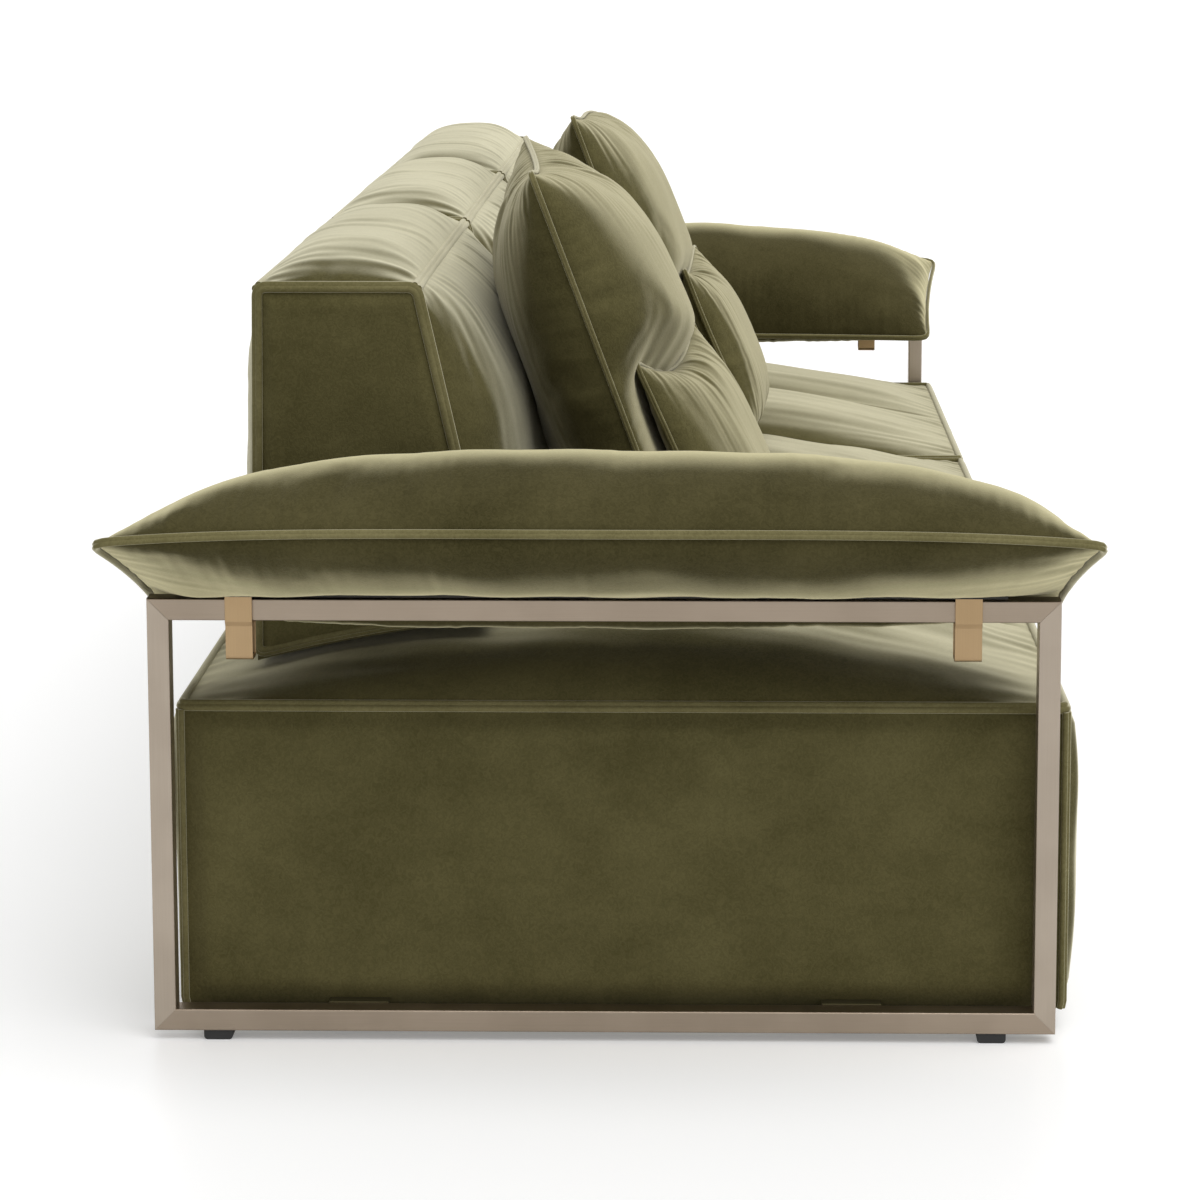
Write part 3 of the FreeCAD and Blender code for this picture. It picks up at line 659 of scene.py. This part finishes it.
def back_panels(centre, half, seed):
    """The panels of a back: front, top, rear, two ends and underside."""
    panels = Panels()
    across, tall, deep = stops(190, 0.4), (stops(64, 0.45) + 1) / 2, (stops(52, 0.45) + 1) / 2
    edge = half - seam_tuck
    # Each long panel: its first and last edge, its swell, its rows, and how it is gathered at both edges
    runs = (
        (front_low, front_top, back_front_bulge, tall, (0.0, 0.0010), seed),
        (front_top, rear_top, back_crown, deep, (0.0008, 0.0008), seed + 20),
        (rear_top, rear_low, back_rear_bulge, tall, (0.0008, 0.0), seed + 40),
    )
    for start, end, bulge, places, gathered, number in runs:
        length = np.linalg.norm(end - start)
        out = outward_of(start, end)
        s, t = np.meshgrid(across, places, indexing="ij")
        x, along = s * edge, t * length
        side, near = edge * (1 - np.abs(s)), np.minimum(along, length - along)
        swell = bulge * fullness(s) * (1 - np.abs(2 * t - 1) ** 2.6) ** 0.8
        loose = gathers(x, along, height=gathered[0], reach=0.05, seed=number)
        loose = loose + gathers(x, length - along, height=gathered[1], reach=0.06, seed=number + 3)
        loose = loose + slack(x, along, height=0.0013, seed=number + 6) * ease(near, 0.05) * ease(side, 0.06)
        drawn = gathers(along, side, height=0.0007, reach=0.03, seed=number + 9)
        swell = swell + ease(side, 0.015) * loose + ease(near, 0.02) * drawn
        y = start[0] + (end - start)[0] * t + out[0] * swell
        z = start[1] + (end - start)[1] * t + out[1] * swell
        panels.add(centre + x, y, z)
    for facing in (-1, 1):
        d, w = np.meshgrid(deep, tall, indexing="ij")
        front = front_low + (front_top - front_low) * w[..., None]
        rear = rear_low + (rear_top - rear_low) * w[..., None]
        y, z = np.moveaxis(front + (rear - front) * d[..., None], -1, 0)
        flat_foot = front_low[1] + (rear_low - front_low)[1] * d
        z = z + (back_foot(y) - flat_foot) * (1 - w)
        inset = np.minimum(np.minimum(d, 1 - d) * end_depth, np.minimum(w, 1 - w) * end_height)
        drawn = gathers(y, back_edge - z, height=0.0010, reach=0.04, seed=seed + 61 + facing)
        drawn = drawn + slack(y, z, height=0.0005, seed=seed + 64 + facing)
        reach = edge + (seam_tuck - 0.001) * ease(inset, 0.02) + ease(inset, 0.03) * drawn
        panels.add(centre + facing * reach, y, z)
    s, d = np.meshgrid(across, deep, indexing="ij")
    y = front_low[0] + (rear_low - front_low)[0] * d
    panels.add(centre + s * edge, y, back_foot(y))
    return panels


def back_welts(centre, half):
    """The welts round both ends of a back and along its two top seams."""
    welts = Panels()
    edge = half - seam_tuck
    lift = np.array([0.0, 1.2 * welt_half])
    for facing in (-1, 1):
        x = centre + facing * edge
        foot = [(y, back_foot(y) + lift[1]) for y in np.linspace(back_rear, back_front, 5)[1:-1]]
        corners = [(x, *point) for point in (front_low + lift, front_top, rear_top, rear_low + lift, *foot)]
        path = rounded(corners)
        along = tangents(path, True)
        side = np.array([facing * welt_lean, 0.0, 0.0])
        add_welt(welts, path, np.cross([1.0, 0.0, 0.0], along) + side, True)
    for point, start, end in ((front_top, front_low, front_top), (rear_top, rear_top, rear_low)):
        out = outward_of(start, end)
        x = np.linspace(-edge, edge, 90)
        path = np.stack([centre + x, np.full_like(x, point[0]), np.full_like(x, point[1])], -1)
        outward = np.tile([0.0, out[0], out[1] + 1.0], (len(path), 1))
        add_welt(welts, path, outward)
    return welts


backs = {}
for number, name in enumerate(seat_side_bulges):
    centre, half = span_of(name + "_back_cover")
    backs[name] = back_panels(centre, half, seed=300 + 80 * number).stitch(name + "_back")
    dress(backs[name], back_finish, body, (name + "_back_cover", name + "_back_foam"))
    dress(back_welts(centre, half).stitch(name + "_back_welt"), welt_finish, body)
    print(name, "back", len(backs[name].data.vertices), "points, half width", round(half, 4))

# %% [markdown]
# The arm pads and the loose cushions are knife-edged: two flat sheets sewn together round their rim and
# filled. They are made like that here: two sheets share their rim, and Blender's cloth blows them up,
# which puckers the rim as filling does. Alone, the cloth comes out lumpy at the corners, so it is blended
# with a drawn outline and a thickness like a lens. Subdivision and fine gathers come last.

# %% Filled pillows
sim_frames = 26
sheet_rise = 0.02
# How much of a pillow's outline comes from the cloth, and of its thickness from the lens
cloth_share, lens_share = 0.3, 0.75
clear_reach = 0.06


def read_points(mesh, kind):
    """The places or the normals of a mesh's points."""
    values = np.empty(len(mesh.vertices) * 3)
    mesh.vertices.foreach_get(kind, values)
    return values.reshape(-1, 3)


def plain_piece(name, points, faces):
    """Points and faces as a piece that a modifier can work on."""
    mesh = bpy.data.meshes.new(name)
    mesh.from_pydata(points.tolist(), [], faces)
    return show(name, mesh)


def worked_out(piece):
    """The mesh that a piece's modifier makes of it, in place of the piece."""
    mesh = bpy.data.meshes.new_from_object(piece.evaluated_get(bpy.context.evaluated_depsgraph_get()))
    bpy.data.objects.remove(piece)
    return mesh


def two_sheets(width, height, step):
    """Two sheets that share their rim, a little apart: points, faces, and the four sides of the rim."""
    columns, rows = round(width / step), round(height / step)
    points, faces, index = [], [], {}
    for layer in (1, -1):
        for i in range(columns + 1):
            for j in range(rows + 1):
                rim = i in (0, columns) or j in (0, rows)
                key = (i, j, 0 if rim else layer)
                if key in index:
                    continue
                u, v = i / columns - 0.5, j / rows - 0.5
                rise = sheet_rise * np.sqrt((1 - 4 * u * u) * (1 - 4 * v * v))
                index[key] = len(points)
                points.append((u * width, layer * rise, v * height))
        for i in range(columns):
            for j in range(rows):
                ring = ((i, j), (i + 1, j), (i + 1, j + 1), (i, j + 1))
                ring = [index.get((a, b, 0), index.get((a, b, layer))) for a, b in ring]
                faces.append(ring if layer == -1 else ring[::-1])
    low = [index[(i, 0, 0)] for i in range(columns + 1)]
    right = [index[(columns, j, 0)] for j in range(rows + 1)]
    high = [index[(i, rows, 0)] for i in range(columns, -1, -1)]
    left = [index[(0, j, 0)] for j in range(rows, -1, -1)]
    return np.array(points), faces, (low, right, high, left)


def blow_up(points, faces):
    """Fill two sewn sheets with Blender's cloth and return where their points come to rest."""
    sheets = plain_piece("sheets", points, faces)
    cloth = sheets.modifiers.new("cloth", "CLOTH")
    settings = cloth.settings
    settings.quality = 6
    settings.mass = 0.002
    settings.tension_stiffness = 80
    settings.compression_stiffness = 20
    settings.shear_stiffness = 20
    settings.bending_stiffness = 0.15
    settings.air_damping = 4
    settings.use_pressure = True
    settings.uniform_pressure_force = 4
    settings.effector_weights.gravity = 0
    cloth.collision_settings.use_collision = False
    cloth.point_cache.frame_start = 1
    cloth.point_cache.frame_end = sim_frames
    for number in range(1, sim_frames + 1):
        scene.frame_set(number)
    filled = worked_out(sheets)
    places = read_points(filled, "co")
    bpy.data.meshes.remove(filled)
    scene.frame_set(1)
    return places


def square_up(points, sides, size, draw):
    """Bring a pillow's rim to an outline of a given size that is drawn in by so much between its corners."""
    done = points.copy()
    for axis, other, (low, high) in ((2, 0, (sides[0], sides[2])), (0, 2, (sides[3], sides[1]))):
        reach = np.ones(len(points))
        for rim, half in ((low, points[:, axis] <= 0), (high, points[:, axis] > 0)):
            path = points[rim][np.argsort(points[rim][:, other])]
            reach[half] = np.interp(points[half, other], path[:, other], np.abs(path[:, axis]))
        share = points[:, other] / np.abs(points[:, other]).max()
        target = size[axis // 2] / 2 - draw * (1 - share**2)
        done[:, axis] = points[:, axis] / reach * target
    return done


def shares(flat, size):
    """How far each flat place is from the middle to the rim, along both ways."""
    half = np.array(size)[:, None] / 2
    return np.clip(np.abs(flat[:, [0, 2]]).T / half, 0, 1)


def pillow(size, step, spare, draw, pinch):
    """A filled pillow: its points, 1 thick each way, their flat places, its faces and its rim's sides."""
    sheets, faces, sides = two_sheets(size[0] * spare, size[1] * spare, step)
    points = blow_up(sheets, faces)
    points = points - (points.max(0) + points.min(0)) / 2
    points = square_up(points, sides, size, draw)
    thick = np.abs(points[:, 1]) / np.abs(points[:, 1]).max()
    flat = sheets / spare
    flat[:, 1] = np.sign(np.round(sheets[:, 1], 6))
    u, v = shares(flat, size)
    inward = np.stack([draw * u**3 * (1 - v**2), draw * v**3 * (1 - u**2)], -1)
    neat = flat[:, [0, 2]] - np.sign(flat[:, [0, 2]]) * inward
    points[:, [0, 2]] = cloth_share * points[:, [0, 2]] + (1 - cloth_share) * neat
    lens = ((1 - u**2.2) * (1 - v**2.2)) ** pinch
    points[:, 1] = flat[:, 1] * lens**lens_share * thick ** (1 - lens_share)
    return points, flat, faces, sides


def refined(name, points, faces):
    """A mesh after two rounds of subdivision."""
    coarse = plain_piece("coarse", points, faces)
    coarse.modifiers.new("smoothing", "SUBSURF").levels = 2
    fine = worked_out(coarse)
    fine.name = name
    return fine


def sewn_pillow(name, placed, shape, size, pucker, seed):
    """A placed pillow as a piece, with fine folds drawn in from its seam."""
    _, flat, faces, _ = shape
    mesh = refined(name, placed, faces)
    plain = refined("flat", flat, faces)
    x, layer, z = read_points(plain, "co").T
    bpy.data.meshes.remove(plain)
    from_end, from_side = size[1] / 2 - np.abs(z), size[0] / 2 - np.abs(x)
    # The two sheets take their folds from different places, so that they differ
    apart = 0.37 * np.sign(np.round(layer, 3))
    ends = gathers(x + apart, from_end, height=pucker, reach=0.05, seed=seed, fine=0.6)
    flanks = gathers(z + apart, from_side, height=0.7 * pucker, reach=0.035, seed=seed + 3, fine=0.6)
    loose = slack(x + apart, z, height=0.0012, seed=seed + 6)
    drawn = ends * ease(from_side, 0.03) + flanks * ease(from_end, 0.03)
    drawn = drawn + loose * ease(from_end, 0.07) * ease(from_side, 0.07)
    points = read_points(mesh, "co")
    outward = read_points(mesh, "normal")
    if np.sum(outward * (points - points.mean(0))) < 0:
        mesh.flip_normals()
        outward = -outward
    mesh.vertices.foreach_set("co", (points + outward * drawn[:, None]).ravel())
    mesh.update()
    mesh.shade_smooth()
    return show(name, mesh)


def rim_outward(path):
    """The way out of a pillow along its rim: across the rim, in the plane of the pillow."""
    spread = path - path.mean(0)
    _, _, axes = np.linalg.svd(spread, full_matrices=False)
    outward = np.cross(tangents(path, True), axes[2])
    inward = np.sum(outward * spread, -1).mean() < 0
    return -outward if inward else outward


def sew_rim(name, placed, sides, scale):
    """The welt round a placed pillow's rim, as a piece of its own on the pillow's body."""
    rim = placed[[number for side in sides for number in side[:-1]]]
    # The rim's zigzags are calmed so that a welt can follow it
    for _ in range(3):
        rim = 0.5 * rim + 0.25 * (np.roll(rim, 1, 0) + np.roll(rim, -1, 0))
    welts = Panels()
    add_welt(welts, rim, rim_outward(rim), True, scale)
    dress(welts.stitch(name + "_welt"), welt_finish, name)


def tree_of(piece):
    """A search tree of a piece's faces, to keep other pieces clear of it."""
    mesh = piece.data
    return BVHTree.FromPolygons([v.co for v in mesh.vertices], [tuple(p.vertices) for p in mesh.polygons])


def keep_clear(points, trees, gap):
    """Push points that are inside or too near other pieces back out of them."""
    kept = points.copy()
    for tree in trees:
        for number, point in enumerate(kept):
            place, normal, _, _ = tree.find_nearest(Vector(point), clear_reach)
            if place is not None and (Vector(point) - place).dot(normal) < gap:
                kept[number] = place + normal * gap
    return kept


print("pillow tools ready, the cloth", f"runs {sim_frames} frames")

# %% [markdown]
# An arm pad lies over the top bar of its frame with its outer edge high and its inner edge low. It is one
# long pillow, full on top and flatter underneath. Cloth dropped on the bar would find a lie of its own,
# so the filled pillow is bent by a formula to the lie in the picture, and its underside is lifted clear
# of the bar. The pads mirror each other, but each has its own folds, and the right one has settled a
# little.

# %% Arm pads
arm_length, arm_inner_length = 0.972, 0.920
arm_outer = np.array([1.335, 0.547])
arm_inner = np.array([1.085, 0.424])
arm_top_bulge, arm_bottom_bulge = 0.121, 0.039
# The underside hangs a little between the inner edge and this share of the way out
arm_belly, belly_share = 0.010, 0.45
# How much of a pad's thickness comes from its taper and not from the pillow
taper_share = 0.85
arm_tip_drop = 0.012
arm_settled = {"left": 0.0, "right": 0.010}
bar_low, bar_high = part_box("right_frame_top_bar")
bar_inner, bar_outer, bar_top = bar_low[0], bar_high[0], bar_high[2]
# How far the underside stays off the bar, how steeply it rises outside it so that the bar shows below,
# and how far inside the bar it starts to be lifted and over what width
bar_gap, bar_slope, lift_start, lift_width = 0.0028, 0.2, 0.03, 0.019
arm_fill, arm_welt = 0.8, 0.75
arm_chord = np.linalg.norm(arm_outer - arm_inner)
arm_up = unit(np.array([-(arm_outer - arm_inner)[1], (arm_outer - arm_inner)[0]]))


def lay_arm(points, side, settled):
    """Bend a flat pillow to the lie of an arm pad: length along Y, its edges at the outer and inner seam."""
    along, thick = points[:, 0], points[:, 1]
    share = points[:, 2] / arm_chord + 0.5
    belly = arm_belly * np.sin(np.pi * np.clip(share / belly_share, 0, 1)) ** 2
    lift = np.where(thick > 0, arm_top_bulge, arm_bottom_bulge + belly) * thick
    place = arm_inner + (arm_outer - arm_inner) * share[:, None] + arm_up * lift[:, None]
    y = along * (arm_inner_length + (arm_length - arm_inner_length) * share) / arm_length
    z = place[:, 1] - (arm_tip_drop * np.abs(along / (arm_length / 2)) ** 4 + settled) * share
    level = bar_top + bar_gap + bar_slope * np.maximum(place[:, 0] - bar_outer, 0)
    z = z + np.maximum(level - z, 0) * ease(place[:, 0] - bar_inner + lift_start, lift_width)
    return np.stack([side * place[:, 0], y, z], -1)


def tapered(shape, size):
    """A pillow that falls off to both ends along its length, its top sooner than its underside."""
    points, flat = shape[:2]
    share, place = shares(flat, size)
    top, bottom = (1 - share**3.2) ** 0.58, (1 - share**4) ** 0.95
    upper, lower = (1 - place**2) ** 0.85, (1 - place**2.2) ** 0.55
    done = points.copy()
    full = np.where(flat[:, 1] > 0, top * upper, bottom * lower)
    done[:, 1] = flat[:, 1] * full**taper_share * np.abs(points[:, 1]) ** (1 - taper_share)
    return done


arm_size = (arm_length, arm_chord)
arm_shape = pillow(arm_size, step=0.013, spare=1.06, draw=0.008, pinch=0.5)
level_arm = tapered(arm_shape, arm_size)
for number, (side_name, side) in enumerate((("left", -1), ("right", 1))):
    name = side_name + "_arm"
    laid = lay_arm(level_arm, side, arm_settled[side_name])
    pad = sewn_pillow(name, laid, arm_shape, arm_size, pucker=0.0004, seed=700 + 20 * number)
    dress(pad, arm_finish, name, (name + "_pad",))
    sew_rim(name, laid, arm_shape[3], arm_welt)
    print(name, "pad spans", np.round(np.ptp(laid, axis=0), 3))

# %% [markdown]
# Two large cushions lean on the backs and a small one leans on each of them. Cloth that collides could
# settle them, but not as they lie in the picture. So each is stood by its lower edge, leaned back,
# pulled at its corners and pushed clear of the seats and backs. A large one also gives way where rays
# from its middle meet the small one.

# %% Loose cushions
large_size, large_rear, large_lean = (0.550, 0.480), 0.098, 20.0
small_size, small_rear, small_lean = (0.390, 0.255), 0.026, 24.0
large_fronts = {"left": 0.109, "right": 0.080}
small_front = 0.050
# How far the large cushions stay off the small ones, over how many cells a dent in them slopes off,
# and in how many rounds it is smoothed
contact_gap, dent_cells, dent_rounds = 0.006, 6, 4
cushion_gap, cushion_pucker = 0.003, 0.0006
cushion_fill, cushion_welt = 0.75, 0.5
large_turns = {"left": 3.5, "right": 0.0}
small_turns = {"left": -8.3, "right": -2.0}
# Where the middle of each cushion's lower edge stands
large_feet = {"left": (-0.719, -0.0700, 0.4129), "right": (0.164, -0.0900, 0.4129)}
small_feet = {"left": (-0.749, -0.1620, 0.4040), "right": (0.224, -0.1700, 0.4052)}
# How far the near top, far top and near low corners are drawn back and up
large_corners = {
    "left": ((0.004, 0), (0.006, 0), (0, 0)),
    "right": ((0, 0), (-0.020, -0.035), (0, 0)),
}
small_corners = {
    "left": ((0.007, 0.020), (0.005, 0.018), (0, 0)),
    "right": ((-0.009, 0.014), (-0.006, 0.008), (0, 0.035)),
}


def stand(points, swells, size, foot, lean, turn, corners):
    """Thicken a pillow, lean it back, put its lower edge in place and pull at its corners."""
    x, thick, z = points.T
    thick = thick * np.where(thick < 0, swells[0], swells[1])
    upright = np.stack([x, thick, z + size[1] / 2], -1)
    rotation = Matrix.Rotation(np.radians(turn), 3, "Z") @ Matrix.Rotation(np.radians(-lean), 3, "X")
    placed = upright @ np.array(rotation).T + np.array(foot)
    near, far = np.clip(-2 * x / size[0], 0, 1) ** 2, np.clip(2 * x / size[0], 0, 1) ** 2
    high = z / size[1] + 0.5
    for weight, (back, lift) in zip((near * high, far * high, near * (1 - high) ** 2), corners):
        placed = placed + weight[:, None] * np.array([0.0, back, lift])
    return placed


def loose_cushion(name, shape, size, placed, seed):
    """One loose cushion with its welt, clear of the seats and backs."""
    placed = keep_clear(placed, around, cushion_gap)
    piece = sewn_pillow(name, placed, shape, size, cushion_pucker, seed)
    dress(piece, cushion_finish, name, (name + "_cushion",))
    sew_rim(name, placed, shape[3], cushion_welt)
    print(name, "spans", np.round(np.ptp(placed, axis=0), 3))
    return piece


def give_way(shape, middle, placed, tree):
    """Press a cushion's front back where another lies on it, out to its near edge and softly above it."""
    points, flat, faces, _ = shape
    front = points[:, 1] < 0
    limit = np.ones(len(points))
    for number in np.flatnonzero(front):
        away = Vector(placed[number] - middle[number])
        distance = tree.ray_cast(Vector(middle[number]), away, away.length + contact_gap)[3]
        if distance is not None:
            limit[number] = max(distance - contact_gap, 0) / away.length
    edges = np.array([(a, b) for face in faces for a, b in zip(face, face[1:] + face[:1])])
    a, b = np.concatenate([edges, edges[:, ::-1]]).T
    # Towards the near edge a dent stays as deep as it is, and the other ways it slopes off
    rise = np.where(flat[a, 0] < flat[b, 0] - 0.001, 0, 1 / dent_cells)
    keep = limit.copy()
    for _ in range(2 * dent_cells):
        np.minimum.at(keep, a, keep[b] + rise)
    links = np.bincount(a, minlength=len(points))
    for _ in range(dent_rounds):
        keep = np.minimum(limit, 0.5 * keep + 0.5 * np.bincount(a, keep[b], len(points)) / links)
    keep[~front] = 1
    return middle + (placed - middle) * keep[:, None]


large_shape = pillow(large_size, step=0.012, spare=1.08, draw=0.018, pinch=0.55)
small_shape = pillow(small_size, step=0.010, spare=1.08, draw=0.014, pinch=0.6)
around = [tree_of(piece) for piece in (*seats.values(), *backs.values())]
for number, name in enumerate(("left", "right")):
    lie = (small_size, small_feet[name], small_lean, small_turns[name], small_corners[name])
    placed = stand(small_shape[0], (small_front, small_rear), *lie)
    small = loose_cushion(name + "_small", small_shape, small_size, placed, seed=820 + 40 * number)
    lie = (large_size, large_feet[name], large_lean, large_turns[name], large_corners[name])
    placed = stand(large_shape[0], (large_fronts[name], large_rear), *lie)
    placed = give_way(large_shape, stand(large_shape[0], (0, 0), *lie), placed, tree_of(small))
    loose_cushion(name + "_large", large_shape, large_size, placed, seed=800 + 40 * number)

# %% [markdown]
# The picture has a white room with soft light from above, and a floor that is white to its far end. Lamps
# near the sofa would leave bright and dim places on it, so one wide sun lights it all and throws a soft
# shadow. The room is white to the camera and in reflections, but lights the sofa more weakly. The floor
# adds a little light of its own, mostly for the camera.

# %% Light and floor
room_light = 0.48
world = bpy.data.worlds.new("white_room")
scene.world = world
world.use_nodes = True
room = Shade(world.node_tree)
rays = room.node("ShaderNodeLightPath")
ray_sockets = rays.socket.node.outputs
straight, glossy = [Shade(world.node_tree, ray_sockets[f"Is {kind} Ray"]) for kind in ("Camera", "Glossy")]
seen = room.node("ShaderNodeMath", {"operation": "MINIMUM"}, {0: straight + glossy, 1: 1.0})
strength = seen * (1.0 - room_light) + room_light
background = world.node_tree.nodes["Background"]
background.inputs["Color"].default_value = (1, 1, 1, 1)
world.node_tree.links.new(strength.socket, background.inputs["Strength"])
sun = bpy.data.lights.new("front_sun", "SUN")
sun.energy = 1.9
sun.angle = np.radians(55)
lamp = bpy.data.objects.new("front_sun", sun)
lamp.rotation_euler = Vector((0.30, 0.42, -1.0)).to_track_quat("-Z", "Y").to_euler()
scene.collection.objects.link(lamp)

floor_reach = 60.0
floor_panels = Panels()
corner = np.array([-floor_reach, floor_reach])
floor_panels.add(*np.meshgrid(corner, corner, indexing="ij"), np.zeros((2, 2)))
floor = floor_panels.stitch("floor")
floor_finish, floor_shader, floor_place = new_finish("white_floor")
set_constants(floor_shader, Base_Color=(0.88, 0.88, 0.88, 1), Roughness=0.35, Specular_IOR_Level=0.3)
floor_rays = floor_place.node("ShaderNodeLightPath", output="Is Camera Ray")
feed(floor_shader, "Emission Color", mix_colours(floor_rays, (0.2, 0.2, 0.2, 1), (1, 1, 1, 1)))
set_constants(floor_shader, Emission_Strength=0.22)
put_on(floor, floor_finish)
scene.view_settings.view_transform = "Standard"
print("lit by", lamp.name, "and the room at", room_light)
